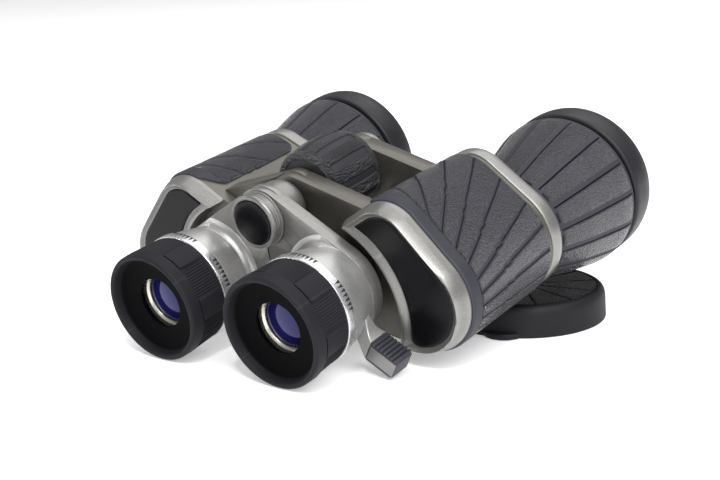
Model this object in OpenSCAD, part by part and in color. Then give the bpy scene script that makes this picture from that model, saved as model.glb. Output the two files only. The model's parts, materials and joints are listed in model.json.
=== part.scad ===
// Porro prism binoculars, 50 mm objectives, folded to the smallest eye width.
// Everything is laid out in the optical frame: +Y looks out of the objectives, +X is the right-hand
// barrel, +Z is up, and Y = 0 is the rear plane of the eyecups. stance() then tips the whole thing so
// that it stands on its eyecups and on the two objective caps, with Z = 0 on the table.

/* [Layout] */
// Half the distance between the eyepiece axes, folded in
eye_x = 28; // [27.5:0.5:29]
// Height of the hinge axis above the eyepiece axes
hinge_z = 24.1; // [23.6:0.5:25.1]
// Objective axis, sideways from the middle
obj_x = 56.7; // [56.2:0.5:57.7]
// Objective axis, height against the eyepiece axes
obj_z = -3.3; // [-3.8:0.5:-2.8]
// Centre of the housing's upper corner, sideways
crown_x = 47; // [46:0.5:48]
// Centre of the housing's upper corner, height
crown_z = 16.2; // [15.7:0.5:16.7]

/* [Housing] */
// Housing corner radius round the eyepiece axis
eye_corner_r = 18.4; // [18:0.1:18.6]
// Housing corner radius round the objective axis
obj_corner_r = 20.9; // [20.4:0.1:21.2]
// Radius of the housing's upper corner
crown_r = 14; // [13.5:0.1:14.5]
// Wall of the housing casting
wall = 2.2; // [1.8:0.1:2.4]
// Thickness of the rubber armour
armour_t = 1.0; // [0.8:0.1:1.2]
// Rear face of the rear cover
cover_y = 40.2; // [40:0.1:40.6]
// Rear face of the housing casting
shell_y0 = 47.5; // [47:0.1:48]
// Front face of the housing casting
shell_y1 = 99; // [98.5:0.1:99.5]
// Front face of the front plate
plate_y1 = 105; // [104.5:0.1:105.5]

/* [Eyepieces] */
// Outer radius of the eyecup's flange
eyecup_r = 20.75; // [20.5:0.05:21]
// Radius of the eyecup's body
eyecup_body_r = 19.9; // [19.6:0.1:20]
// Radius of the graduated ring
scale_r = 20.4; // [20.3:0.1:20.6]
// Radius at the front of the eyepiece cone
cone_r = 17; // [16.6:0.1:17.2]
// Outer radius of the sliding eye tube
tube_r = 11.4; // [11.2:0.1:11.6]
// Running clearance between a shaft and its hole
run_gap = 0.05; // [0.03:0.01:0.08]

/* [Objectives] */
// Outer radius of the objective rim
rim_r = 30.5; // [30.3:0.1:31]
// Clear radius of the objective lens
aperture_r = 25; // [24.5:0.1:25.2]
// Front of the objective rim
rim_y1 = 162.3; // [161.5:0.1:163]

/* [Hinge and focusing] */
// Radius of the hinge knuckles
knuckle_r = 9.6; // [9.4:0.1:9.8]
// Largest radius of the focus wheel
wheel_r = 15.9; // [15.5:0.1:16]
// Radius of the badge ring at the back of the hinge
hub_r = 10.2; // [10:0.1:10.4]

/* [Stance] */
// Upward tip of the objectives, in degrees
tilt = 11; // [10.9:0.1:11.2]
// Height of an objective cap
cap_h = 11.9; // [11.5:0.1:11.9]
// Outer radius of an objective cap at the table
cap_r = 32.2; // [32:0.1:32.4]

/* [Hidden] */
$fn = 96;

LEFT = -1;
RIGHT = 1;
cut = 1;              // how far a cutting tool runs past the face it opens
gap = 0.3;            // air between pieces that move past each other
skin_fit = 0.05;      // fit of a rubber skin over its casting
sink = [0, 0, 0.004]; // sets the ends of a tangent line just inside its circles

// Circles [x, z, r] whose common outline is the housing's cross section
housing_circles = [
  [eye_x, 0, eye_corner_r],
  [obj_x, obj_z, obj_corner_r],
  [crown_x, crown_z, crown_r]
];
// The inner edge of the rear cover is an arc about a point below the hinge
lip_c = [15.3, -9.8];
lip_r = 35.5;
inlay_edge_r = lip_r + 4.5;
inlay_inset = 3.5;
inlay_t = 1;
armour_x = 36;        // the armour covers what lies outside this distance from the middle

// Eyepiece stations
lip_round = 1.5;      // rounding of the eyecup's rear lip
cup_mouth_r = 15.9;   // opening of the eyecup
flange_y1 = 5;
eyecup_y1 = 17.5;
scale_y1 = 21.6;
arm_y0 = 35.5;        // rear face of the bridge arms
arm_y1 = 41;
arm_r = 10.8;         // knuckle at the hub end of a bridge arm
lens_y = 9;           // rear face of the ring round the eye lens
field_lens_y = 48;
tube_bore_r = 10.4;
eye_ring_r = 12.2;
tube_y0 = 12;
tube_y1 = 60;
barrel_y0 = 13.4;     // rear end of the fixed eyepiece barrel
barrel_r = 14;

// Hinge stations
rear_bar = [52, 60];
front_bar = [89, 97];
pin_r = 5.5;          // hinge tube
spindle_r = 4;
hinge_end = [eye_x + 2, 12, 12.85];
wheel_y = [61.5, 88];
wheel_core_r = 12;
slot_y = [65.6, 76.4];
drive_pin_y = 75;
drive_pin_r = 1.1;
socket_r = 3.175;     // quarter inch tripod thread

// Objective stations
neck_r = 18.2;        // barrel where it passes through the front plate
sleeve_y = [106.5, 147];
rim_y0 = 148.6;
rim_front_r = rim_r - 2.4;
lens_seat_y = 147;
glass_r = aperture_r + 1;
rim_bore_r = 26.6;

// Prisms: the beam goes in at the objective axis, across to the turning axis, and out at the eyepiece
shelf_y = [70, 72.5];
turn_axis = let(o = [obj_x, obj_z], h = ([eye_x, 0] - o) / 2) o + h + [h[1], -h[0]];
prism_leg = norm(turn_axis - [eye_x, 0]) - 0.8;
prism_w = 16.2;

// Stance: the lip's rounding touches the table, and so do the caps
lip_lift = (eyecup_r - lip_round) * cos(tilt) - lip_round * sin(tilt) + lip_round;
cap_x = 51.6;
cap_y = 120.5;
back_reach = (eyecup_r - lip_round) * sin(tilt) - lip_round * cos(tilt) + lip_round;
front_reach = rim_y1 * cos(tilt) + (rim_front_r - obj_z) * sin(tilt);
shift_y = (back_reach - front_reach) / 2;
tab_r = 8;            // thumb tab of a cap
tab_out = 27.4;
tab_angle = 17.7;     // how far outward the tab is turned from straight back

// ---- helpers ----

// Tips the optical frame into the frame in which the part stands
module stance()
  translate([0, shift_y, lip_lift]) rotate([tilt, 0, 0]) children();

// Places a right-hand piece, or its mirror image on the left
module on_side(side)
  stance() if (side > 0) children(); else mirror([1, 0, 0]) children();

// A flat outline in X and Z, drawn out from station y0 to station y1
module slab(y0, y1)
  translate([0, y1, 0]) rotate([90, 0, 0]) linear_extrude(y1 - y0) children();

// A [radius, station] profile turned about an axis parallel to Y
module turned(at, profile)
  translate([at[0], 0, at[1]]) rotate([-90, 0, 0]) rotate_extrude() polygon(profile);

// A round bar parallel to Y
module rod(at, r, y0, y1)
  translate([at[0], y0, at[1]]) rotate([-90, 0, 0]) cylinder(r = r, h = y1 - y0);

// The two ends of the tangent that runs outside circle a and circle b
function tangent(a, b) =
  let(d = [b[0] - a[0], b[1] - a[1]], t = atan2(d[1], d[0]) - acos((a[2] - b[2]) / norm(d)),
      n = [cos(t), sin(t)])
  [[a[0], a[1]] + a[2] * n, [b[0], b[1]] + b[2] * n];

// Taut outline round a ring of circles, listed anticlockwise, grown by g
module taut(circles, g = 0) {
  grown = [for (c = circles) [c[0], c[1], c[2] + g]];
  for (c = grown) translate([c[0], c[1]]) circle(r = c[2]);
  polygon([for (i = [0:len(grown) - 1]) each tangent(grown[i] - sink, grown[(i + 1) % len(grown)] - sink)]);
}

module outline(g = 0) taut(housing_circles, g);

// Points every 15 degrees round an arc
function arc(c, r, from, to) = [for (a = [from:15:to]) c + r * [cos(a), sin(a)]];

eye = [eye_x, 0];
obj = [obj_x, obj_z];
hinge = [0, hinge_z];

// ---- housing ----

// One hinge bar: a web from the knuckle to the housing, with its knuckle in one half of the width
module hinge_bar(y, knuckle_first) {
  mid = (y[0] + y[1]) / 2;
  own = knuckle_first ? [y[0], mid - gap / 2] : [mid + gap / 2, y[1]];
  other = knuckle_first ? [mid - gap / 2, y[1] + cut] : [y[0] - cut, mid + gap / 2];
  difference() {
    slab(y[0], y[1]) taut([[hinge[0], hinge[1], knuckle_r], hinge_end]);
    rod(hinge, knuckle_r + gap, other[0], other[1]);
    slab(y[0] - cut, y[1] + cut) translate([-2 * knuckle_r + gap, 0]) square([2 * knuckle_r, 2 * hinge_z]);
    slab(y[0] - cut, y[1] + cut) outline();
  }
  rod(hinge, knuckle_r, own[0], own[1]);
}

// The rear and front hinge bars of one half; the left knuckles grip the hinge tube
module hinge_bars(side) color([0.50, 0.49, 0.45]) on_side(side)
  for (y = [rear_bar, front_bar])
    difference() {
      hinge_bar(y, side == RIGHT);
      rod(hinge, side == RIGHT ? pin_r + run_gap : pin_r, y[0] - cut, y[1] + cut);
    }

module housing(side) color([0.50, 0.49, 0.45]) on_side(side) difference() {
  slab(shell_y0, shell_y1) outline();
  slab(shell_y0 + wall, shell_y1 + cut) outline(-wall);
  // window behind the rear cover, through which the prisms are fitted
  slab(shell_y0 - cut, shell_y0 + wall + cut) difference() {
    outline(-wall - 2);
    translate(lip_c) circle(r = inlay_edge_r);
  }
  rod(eye, tube_r + run_gap, shell_y0 - cut, shell_y0 + wall + cut);
}

module rear_cover(side) color([0.62, 0.61, 0.57]) on_side(side) difference() {
  hull() {
    slab(cover_y + 4.5, shell_y0) outline($fn = 32);
    slab(cover_y + 1.3, cover_y + 1.5) outline(-1, $fn = 32);
    slab(cover_y, cover_y + 0.2) outline(-2.6, $fn = 32);
  }
  rod(lip_c, lip_r, cover_y - cut, shell_y0 + cut);
  slab(cover_y - cut, cover_y + 1 + inlay_t) inlay_shape();
  slab(cover_y + 4, shell_y0 + cut) difference() {
    outline(-wall - 2);
    translate(lip_c) circle(r = inlay_edge_r);
  }
}

module inlay_shape() difference() {
  outline(-inlay_inset);
  translate(lip_c) circle(r = inlay_edge_r);
}

module inlay(side) color([0.06, 0.06, 0.07]) on_side(side)
  slab(cover_y + 1, cover_y + 1 + inlay_t) inlay_shape();

module front_plate(side) color([0.58, 0.57, 0.53]) on_side(side) difference() {
  slab(shell_y1, plate_y1) outline(armour_t / 2);
  rod(obj, neck_r + 0.1, shell_y1 - cut, plate_y1 + cut);
}

// The armour wraps the crown, the outer side and the belly, and stops along the inner shoulder
module armour(side) color([0.16, 0.16, 0.18]) on_side(side) difference() {
  slab(shell_y0 + 0.4, shell_y1 - 0.2) outline(armour_t);
  slab(shell_y0, shell_y1) outline();
  slab(shell_y0, shell_y1) translate([armour_x - 100, -50]) square([100, 100]);
}

module prism_shelf(side) color([0.2, 0.2, 0.2]) on_side(side) difference() {
  slab(shelf_y[0], shelf_y[1]) outline(-wall);
  rod(obj, 9.5, shelf_y[0] - cut, shelf_y[1] + cut);
  rod(turn_axis, 8, shelf_y[0] - cut, shelf_y[1] + cut);
  rod(eye, 9, shelf_y[0] - cut, shelf_y[1] + cut);
}

// A right-angled prism whose long face lies at station y and spans from axis a to axis b;
// dir is the way its roof points along Y
module prism_body(a, b, y, dir, grow = 0, w = prism_w) {
  mid = (a + b) / 2;
  half = prism_leg + grow;
  blunt = 3;
  translate([mid[0], y, mid[1]]) rotate([0, -atan2(b[1] - a[1], b[0] - a[0]), 0])
    translate([0, 0, -w / 2]) linear_extrude(w)
      polygon([[-half, 0], [half, 0], [half, dir * blunt], [blunt, dir * half], [-blunt, dir * half],
               [-half, dir * blunt]]);
}

module rear_prism(side) color([0.75, 0.85, 0.9]) on_side(side)
  prism_body(obj, turn_axis, shelf_y[0], -1);

module front_prism(side) color([0.75, 0.85, 0.9]) on_side(side)
  prism_body(turn_axis, eye, shelf_y[1], 1);

// A sprung strap over each prism holds it on the shelf
module prism_clips(side) color([0.7, 0.7, 0.72]) on_side(side)
  for (p = [[obj, turn_axis, shelf_y[0], -1], [turn_axis, eye, shelf_y[1], 1]])
    difference() {
      prism_body(p[0], p[1], p[2], p[3], 0.5, 5);
      prism_body(p[0], p[1], p[2], p[3]);
      translate([0, p[2], 0]) cube([400, 0.02, 400], center = true);
    }

// ---- objective end ----

// Outer radius of the bare barrel at each station, under the rubber sleeve
barrel_line = [[neck_r, shell_y1 + 1.5], [neck_r, plate_y1], [20.2, plate_y1], [20.2, 107], [24.6, 122],
               [27.7, 135], [29.1, 142], [29.3, 146], [28.6, 148.4]];
function inset_line(line, t) = [for (i = [len(line) - 1:-1:0]) [line[i][0] - t, line[i][1]]];

module barrel(side) color([0.35, 0.35, 0.34]) on_side(side) difference() {
  turned(obj, concat(barrel_line, inset_line(barrel_line, 1.8)));
  rod(obj, glass_r + 0.9, lens_seat_y - 0.4, rim_y0);
}

module sleeve(side) color([0.18, 0.18, 0.2]) on_side(side)
  turned(obj, concat([[20.9, sleeve_y[0]], [25.8, 122.5], [28.9, 135.5], [30, 141], [30.25, 144],
                      [29.9, sleeve_y[1]], [29.2, sleeve_y[1]]],
                     inset_line([for (i = [3:7]) barrel_line[i]], -skin_fit), [[20.3, sleeve_y[0]]]));

module rim(side) color([0.14, 0.14, 0.15]) on_side(side)
  turned(obj, [[rim_bore_r, rim_y0], [rim_r - 0.6, rim_y0], [rim_r, rim_y0 + 0.8], [rim_r, rim_y0 + 7],
               [rim_r - 0.5, rim_y0 + 10], [rim_front_r + 0.6, rim_y1 - 1], [rim_front_r, rim_y1],
               [rim_bore_r + 0.4, rim_y1], [rim_bore_r, rim_y1 - 1]]);

// A lens of edge radius er and middle thickness t, with both faces of radius r; its rear pole is at y
module lens(at, er, y, t, r) {
  steps = 8;
  radii = [for (i = [0:steps]) er * i / steps];
  function sag(q) = r - sqrt(r * r - q * q);
  turned(at, concat([for (q = radii) [q, y + sag(q)]],
                    [for (i = [steps:-1:0]) [radii[i], y + t - sag(radii[i])]]));
}

module objective(side) color([0.35, 0.3, 0.55, 0.6]) on_side(side)
  lens(obj, glass_r, lens_seat_y - 2, 9, 130);

module retaining_ring(side) color([0.08, 0.08, 0.08]) on_side(side)
  turned(obj, [[aperture_r, 153.4], [rim_bore_r, 152.6], [rim_bore_r, 155.2], [aperture_r, 155.2]]);

// ---- hinge and focus wheel ----

module hinge_tube() color([0.6, 0.6, 0.6]) stance() difference() {
  rod(hinge, pin_r, rear_bar[0] + 0.5, front_bar[1]);
  rod(hinge, spindle_r + run_gap, rear_bar[0], front_bar[1] + cut);
  pin_slot();
}

// The drive pin slides in this slot, so the bridge moves but can't turn
module pin_slot()
  translate([-2 * pin_r, slot_y[0], hinge_z - drive_pin_r - 0.1])
    cube([4 * pin_r, slot_y[1] - slot_y[0], 2 * drive_pin_r + 0.2]);

module tripod_socket() color([0.62, 0.61, 0.57]) stance()
  turned(hinge, [[socket_r, 89.5], [spindle_r + run_gap, 89.5], [spindle_r + run_gap, 97], [9.2, 97],
                 [9.2, 99.6], [8, 101], [socket_r, 101]]);

module wheel_core() color([0.3, 0.3, 0.3]) stance()
  turned(hinge, [[pin_r + run_gap, 61.9], [wheel_core_r, 61.9], [wheel_core_r, 87.6],
                 [pin_r + run_gap, 87.6], [pin_r + run_gap, slot_y[1] + 0.3], [7.4, slot_y[1] + 0.3],
                 [7.4, slot_y[0] - 0.3], [pin_r + run_gap, slot_y[0] - 0.3]]);

module wheel_rubber() color([0.13, 0.13, 0.15]) stance()
  turned(hinge, [[wheel_core_r + skin_fit, wheel_y[0]], [wheel_r - 2, wheel_y[0]], [wheel_r - 1, 62.6],
                 [wheel_r - 0.3, 68], [wheel_r, 74.5], [wheel_r - 0.3, 81], [wheel_r - 1, 86.6],
                 [wheel_r - 2, wheel_y[1]], [wheel_core_r + skin_fit, wheel_y[1]]]);

// The spindle carries the bridge, and its cross pin runs in the wheel's groove
module focus_spindle() color([0.7, 0.7, 0.7]) stance() {
  rod(hinge, spindle_r, 33, 87);
  translate([0, drive_pin_y, hinge_z]) rotate([0, 90, 0])
    cylinder(r = drive_pin_r, h = 13.8, center = true);
}

module bridge_boss() color([0.66, 0.65, 0.61]) stance()
  turned(hinge, [[spindle_r, arm_y1], [10, arm_y1], [10, 46.4], [9.6, 48.4], [8.6, 50], [7, 51.2],
                 [spindle_r, 51.6]]);

module hub_ring() color([0.68, 0.67, 0.63]) stance() difference() {
  turned(hinge, [[0, 31.4], [8.6, 31.4], [8.6, 30.4], [9.6, 30.4], [hub_r, 31.2], [hub_r, 33.6],
                 [hub_r - 0.3, 33.8], [hub_r - 0.3, 34.2], [hub_r + 0.2, 34.4], [hub_r + 0.2, arm_y0 - 0.2],
                 [0, arm_y0 - 0.2]]);
  rod(hinge, spindle_r, 33, arm_y0 + cut);
}

module hub_badge() color([0.05, 0.05, 0.06]) stance() rod(hinge, 8.5, 30.1, 31.4);

// ---- ocular bridge ----

// The two arms share the hub: the right arm's knuckle is behind the left arm's
module bridge_arm(side) color([0.66, 0.65, 0.61]) on_side(side) difference() {
  mid = (arm_y0 + arm_y1) / 2;
  own = side == RIGHT ? [arm_y0, mid - gap / 2] : [mid + gap / 2, arm_y1];
  other = side == RIGHT ? [mid - gap / 2, arm_y1 + cut] : [arm_y0 - cut, mid + gap / 2];
  union() {
    difference() {
      slab(arm_y0, arm_y1) taut([[hinge[0], hinge[1], arm_r], [eye[0], eye[1], cone_r]]);
      rod(hinge, arm_r + gap, other[0], other[1]);
      slab(arm_y0 - cut, arm_y1 + cut)
        translate([gap - 3 * arm_r, -2 * arm_r]) square([3 * arm_r, 6 * arm_r]);
    }
    rod(hinge, arm_r, own[0], own[1]);
    rod(eye, barrel_r, barrel_y0, arm_y1);
  }
  rod(hinge, side == RIGHT ? spindle_r + run_gap : spindle_r, arm_y0 - cut, arm_y1 + cut);
  rod(eye, tube_r + run_gap, barrel_y0 - cut, arm_y1 + cut);
}

// The left cone is fixed; the right one turns on the eyepiece barrel with the lever
cone_line = [[19.4, scale_y1], [19.2, 25], [18.4, 29], [17.6, 32]];
module cone(side) color([0.66, 0.65, 0.61]) on_side(side) {
  play = side == RIGHT ? run_gap : 0;
  turned(eye, concat([[barrel_r + play, scale_y1]], cone_line,
                     [[cone_r, arm_y0 - play], [barrel_r + play, arm_y0 - play]]));
}

module eye_tube(side) color([0.25, 0.25, 0.25]) on_side(side)
  turned(eye, [[tube_bore_r, tube_y0], [tube_r, tube_y0], [tube_r, tube_y1], [tube_bore_r, tube_y1]]);

module eye_ring(side) color([0.8, 0.78, 0.7]) on_side(side)
  turned(eye, [[9.5, lens_y + 0.4], [10.2, lens_y - 0.4], [eye_ring_r, lens_y - 0.4],
               [eye_ring_r, tube_y0], [tube_bore_r, tube_y0], [9.5, lens_y + 1]]);

module eye_lens(side) color([0.2, 0.2, 0.5, 0.7]) on_side(side)
  lens(eye, tube_bore_r, lens_y + 1.7, 5, 40);

module field_lens(side) color([0.6, 0.7, 0.8, 0.6]) on_side(side)
  lens(eye, tube_bore_r, field_lens_y, 5, 50);

module scale_ring(side) color([0.78, 0.78, 0.76]) on_side(side)
  turned(eye, [[barrel_r + run_gap, eyecup_y1], [scale_r - 0.3, eyecup_y1],
               [scale_r, eyecup_y1 + 0.4], [scale_r, scale_y1 - 0.5],
               [scale_r - 0.3, scale_y1 - run_gap], [barrel_r + run_gap, scale_y1 - run_gap]]);

module eyecup(side) color([0.09, 0.09, 0.1]) on_side(side)
  turned(eye, concat(
    arc([cup_mouth_r + lip_round, lip_round], lip_round, 180, 270),
    arc([eyecup_r - lip_round, lip_round], lip_round, 270, 360),
    [[eyecup_r, flange_y1 - 0.4], [eyecup_body_r, flange_y1 + 0.4], [eyecup_body_r, eyecup_y1],
     [barrel_r + run_gap, eyecup_y1], [barrel_r + run_gap, barrel_y0 - gap],
     [eye_ring_r + gap, barrel_y0 - gap], [eye_ring_r + gap, 7.4]]));

// ---- lever on the right eyepiece ----

lever_angle = -30;    // direction of the lever from the eyepiece axis, at its lower stop
lever_y = [26, 35.2];
lever_r = [24, 36.2];
lever_h = 8;
grip_grooves = 6;

// Turns a piece drawn along +X into the lever's direction
module at_lever() translate([eye_x, 0, 0]) rotate([0, -lever_angle, 0]) children();

// The tongue of the arm that carries the rubber grip
module lever_tongue() translate([lever_r[0] - cut, lever_y[0] + 3, -5.5]) cube([9, 3, 3]);

module lever_plate(depth)
  translate([lever_r[0] + 0.6, lever_y[0] + 0.8 - depth, -6.9]) cube([11, depth, 5.6]);

module lever_arm() color([0.66, 0.65, 0.61]) stance() difference() {
  at_lever() {
    hull() {
      translate([16.5, 28.5, -6]) cube([0.5, 5, 11]);
      translate([lever_r[0] - 1, lever_y[0], -lever_h]) cube([1, lever_y[1] - lever_y[0], lever_h]);
    }
    lever_tongue();
  }
  turned(eye, concat([[0, scale_y1]], cone_line, [[cone_r, arm_y0], [0, arm_y0]]));
}

module lever_grip() color([0.15, 0.15, 0.17]) stance() at_lever() difference() {
  translate([lever_r[0], lever_y[0], -lever_h])
    cube([lever_r[1] - lever_r[0], lever_y[1] - lever_y[0], lever_h]);
  for (i = [1:grip_grooves])
    translate([lever_r[0] + i * 1.75 - 0.5, lever_y[0] - cut, -0.7])
      cube([0.8, lever_y[1] - lever_y[0] + 2 * cut, cut + 0.7]);
  lever_tongue();
  lever_plate(0.8 + cut);
}

module lever_inlay() color([0.7, 0.69, 0.66]) stance() at_lever() lever_plate(0.7);

// ---- objective caps, face down on the table ----

module cap(side) color([0.08, 0.08, 0.09])
  translate([side * cap_x, cap_y + shift_y, 0]) difference() {
    union() {
      rotate_extrude() polygon([[0, 0], [cap_r, 0], [cap_r - 0.4, cap_h - 3], [cap_r - 0.9, cap_h - 1.2],
                                [cap_r - 2.2, cap_h], [0, cap_h]]);
      // thumb tab
      rotate([0, 0, -side * (90 - tab_angle)]) translate([side * tab_out, 0, 0]) cylinder(r = tab_r, h = 2.2);
    }
    translate([0, 0, -cut]) cylinder(r = rim_r + 0.1, h = cap_h - 2.4 + cut);
  }

housing(LEFT);  // left_housing
hinge_bars(LEFT);  // left_hinge_bars
rear_cover(LEFT);  // left_rear_cover
inlay(LEFT);  // left_inlay
front_plate(LEFT);  // left_front_plate
armour(LEFT);  // left_armour
prism_shelf(LEFT);  // left_prism_shelf
rear_prism(LEFT);  // left_rear_prism
front_prism(LEFT);  // left_front_prism
prism_clips(LEFT);  // left_prism_clips
barrel(LEFT);  // left_barrel
sleeve(LEFT);  // left_sleeve
rim(LEFT);  // left_rim
objective(LEFT);  // left_objective
retaining_ring(LEFT);  // left_retaining_ring
housing(RIGHT);  // right_housing
hinge_bars(RIGHT);  // right_hinge_bars
rear_cover(RIGHT);  // right_rear_cover
inlay(RIGHT);  // right_inlay
front_plate(RIGHT);  // right_front_plate
armour(RIGHT);  // right_armour
prism_shelf(RIGHT);  // right_prism_shelf
rear_prism(RIGHT);  // right_rear_prism
front_prism(RIGHT);  // right_front_prism
prism_clips(RIGHT);  // right_prism_clips
barrel(RIGHT);  // right_barrel
sleeve(RIGHT);  // right_sleeve
rim(RIGHT);  // right_rim
objective(RIGHT);  // right_objective
retaining_ring(RIGHT);  // right_retaining_ring
hinge_tube();
tripod_socket();
wheel_core();
wheel_rubber();
bridge_arm(LEFT);  // left_bridge_arm
cone(LEFT);  // left_cone
eye_tube(LEFT);  // left_eye_tube
eye_ring(LEFT);  // left_eye_ring
eye_lens(LEFT);  // left_eye_lens
field_lens(LEFT);  // left_field_lens
scale_ring(LEFT);  // left_scale_ring
eyecup(LEFT);  // left_eyecup
bridge_arm(RIGHT);  // right_bridge_arm
cone(RIGHT);  // right_cone
eye_tube(RIGHT);  // right_eye_tube
eye_ring(RIGHT);  // right_eye_ring
eye_lens(RIGHT);  // right_eye_lens
field_lens(RIGHT);  // right_field_lens
scale_ring(RIGHT);  // right_scale_ring
eyecup(RIGHT);  // right_eyecup
bridge_boss();
focus_spindle();
hub_ring();
hub_badge();
lever_arm();
lever_grip();
lever_inlay();
cap(LEFT);  // left_cap
cap(RIGHT);  // right_cap
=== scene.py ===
"""Porro prism binoculars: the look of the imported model.

Shapes are laid out in the optical frame, in millimetres: x to the right-hand barrel, y out of the
objectives, z up, with y = 0 in the rear plane of the eyecups. OPTICAL carries them into the model's
own frame, in metres. The caps lie flat on the table, so TABLE carries them.
"""
import json
import math
from bisect import bisect_left
import bmesh
import bpy
from mathutils import Matrix, Vector


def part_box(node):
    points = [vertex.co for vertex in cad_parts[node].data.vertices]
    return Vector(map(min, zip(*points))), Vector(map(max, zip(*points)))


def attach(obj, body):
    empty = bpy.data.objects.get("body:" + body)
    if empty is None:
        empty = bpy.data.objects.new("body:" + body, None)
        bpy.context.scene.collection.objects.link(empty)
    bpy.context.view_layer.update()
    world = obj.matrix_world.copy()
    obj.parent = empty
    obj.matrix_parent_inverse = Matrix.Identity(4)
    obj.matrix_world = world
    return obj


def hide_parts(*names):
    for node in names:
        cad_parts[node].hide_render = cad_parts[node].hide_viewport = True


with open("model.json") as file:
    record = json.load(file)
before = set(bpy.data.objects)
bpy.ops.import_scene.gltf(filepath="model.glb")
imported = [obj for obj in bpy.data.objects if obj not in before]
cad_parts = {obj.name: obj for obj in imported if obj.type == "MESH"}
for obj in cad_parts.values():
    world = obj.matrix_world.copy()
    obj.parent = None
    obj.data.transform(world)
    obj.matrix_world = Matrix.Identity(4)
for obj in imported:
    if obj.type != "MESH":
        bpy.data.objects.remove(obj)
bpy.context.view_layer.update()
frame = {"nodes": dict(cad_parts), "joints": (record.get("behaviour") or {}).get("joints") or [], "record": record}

scene = bpy.context.scene
SIDES = {"left": -1, "right": 1}
TAU = 2 * math.pi

# ---- the optical frame, from the model's own joints ----

joints = {j["name"]: j for j in frame["joints"]}
sight = -Vector(joints["fold"]["axis"])
eye_points = [Vector(joints[s + "_dioptre"]["pos_m"]) for s in SIDES]
EYE_JOINT_Y = 15
across = Vector((1, 0, 0))
upward = across.cross(sight)
corner = sum(eye_points, Vector()) / 2 - sight * EYE_JOINT_Y / 1000
OPTICAL = Matrix.LocRotScale(corner, Matrix((across, sight, upward)).transposed().to_quaternion(),
                             Vector((0.001, 0.001, 0.001)))
EYE_X = 1000 * (eye_points[1] - eye_points[0]).length / 2
EYE = (EYE_X, 0)
OBJ = (56.7, -3.3)
HINGE = (0, 24.1)
LIP = (15.3, -9.8)     # centre of the rear cover's inner edge
LIP_R = 35.5
TABLE = Matrix.Scale(0.001, 4)      # the model's own frame, in millimetres


# ---- materials ----

def shader(name, color, roughness, **sockets):
    """A new material, and its node tree and shader."""
    m = bpy.data.materials.new(name)
    m.use_nodes = True
    tree = m.node_tree
    bsdf = tree.nodes["Principled BSDF"]
    bsdf.inputs["Base Color"].default_value = (*color, 1)
    bsdf.inputs["Roughness"].default_value = roughness
    for key, value in sockets.items():
        bsdf.inputs[key.replace("_", " ")].default_value = value
    return m, tree, bsdf


def texture(tree, kind, scale, **settings):
    """A procedural texture on the piece's own coordinates; scale is in features per metre."""
    coords = tree.nodes.new("ShaderNodeTexCoord")
    node = tree.nodes.new("ShaderNodeTex" + kind)
    node.inputs["Scale"].default_value = scale
    for key, value in settings.items():
        if key in node.inputs:
            node.inputs[key].default_value = value
        else:
            setattr(node, key, value)
    tree.links.new(coords.outputs["Object"], node.inputs["Vector"])
    return node


def ramp(tree, source, stops):
    """Maps a value through colour stops [(position, grey or colour)]."""
    node = tree.nodes.new("ShaderNodeValToRGB")
    elements = node.color_ramp.elements
    while len(elements) < len(stops):
        elements.new(0.5)
    for element, (position, value) in zip(elements, stops):
        element.position = position
        element.color = (value, value, value, 1) if isinstance(value, (int, float)) else (*value, 1)
    tree.links.new(source, node.inputs["Fac"])
    return node.outputs["Color"]


def combine(tree, operation, a, b):
    """Math node on two sources, or on a source and a number."""
    node = tree.nodes.new("ShaderNodeMath")
    node.operation = operation
    for socket, value in zip(node.inputs, (a, b)):
        if isinstance(value, (int, float)):
            socket.default_value = value
        else:
            tree.links.new(value, socket)
    return node.outputs["Value"]


def bump(tree, bsdf, height, distance, strength=1.0):
    """Relief from a height source, distance being metres for a height of 1."""
    node = tree.nodes.new("ShaderNodeBump")
    node.inputs["Strength"].default_value = strength
    node.inputs["Distance"].default_value = distance
    tree.links.new(height, node.inputs["Height"])
    tree.links.new(node.outputs["Normal"], bsdf.inputs["Normal"])


def edge_wear(tree, low=0.515, high=0.56):
    """White along sharp convex edges, black elsewhere."""
    geometry = tree.nodes.new("ShaderNodeNewGeometry")
    return ramp(tree, geometry.outputs["Pointiness"], [(low, 0), (high, 1)])


def mix(tree, factor, a, b):
    """Blends two colours, or the sources of two colours, by a varying factor."""
    node = tree.nodes.new("ShaderNodeMix")
    node.data_type = "RGBA"
    tree.links.new(factor, node.inputs["Factor"])
    for socket, value in ((node.inputs["A"], a), (node.inputs["B"], b)):
        if isinstance(value, tuple):
            socket.default_value = (*value, 1)
        else:
            tree.links.new(value, socket)
    return node.outputs["Result"]


def paint(name, dark, light, metallic, roughness):
    """Satin sparkle paint on a casting: fine flakes, faint mottling, worn edges."""
    m, tree, bsdf = shader(name, light, roughness, Metallic=metallic, Coat_Weight=0.25,
                           Coat_Roughness=0.28)
    flakes = texture(tree, "Voronoi", 5200)
    flake_tone = ramp(tree, flakes.outputs["Color"], [(0.25, 0), (0.9, 1)])
    clouds = texture(tree, "Noise", 60, Detail=6)
    tone = combine(tree, "ADD", combine(tree, "MULTIPLY", flake_tone, 0.55),
                   combine(tree, "MULTIPLY", clouds.outputs["Fac"], 0.5))
    body = mix(tree, tone, dark, light)
    worn = mix(tree, combine(tree, "MULTIPLY", edge_wear(tree), 0.35), body,
               tuple(min(1, 1.35 * c) for c in light))
    tree.links.new(worn, bsdf.inputs["Base Color"])
    tree.links.new(ramp(tree, clouds.outputs["Fac"], [(0.3, roughness - 0.05), (0.7, roughness + 0.08)]),
                   bsdf.inputs["Roughness"])
    bump(tree, bsdf, flakes.outputs["Distance"], 0.00002, 0.5)
    return m


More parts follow.
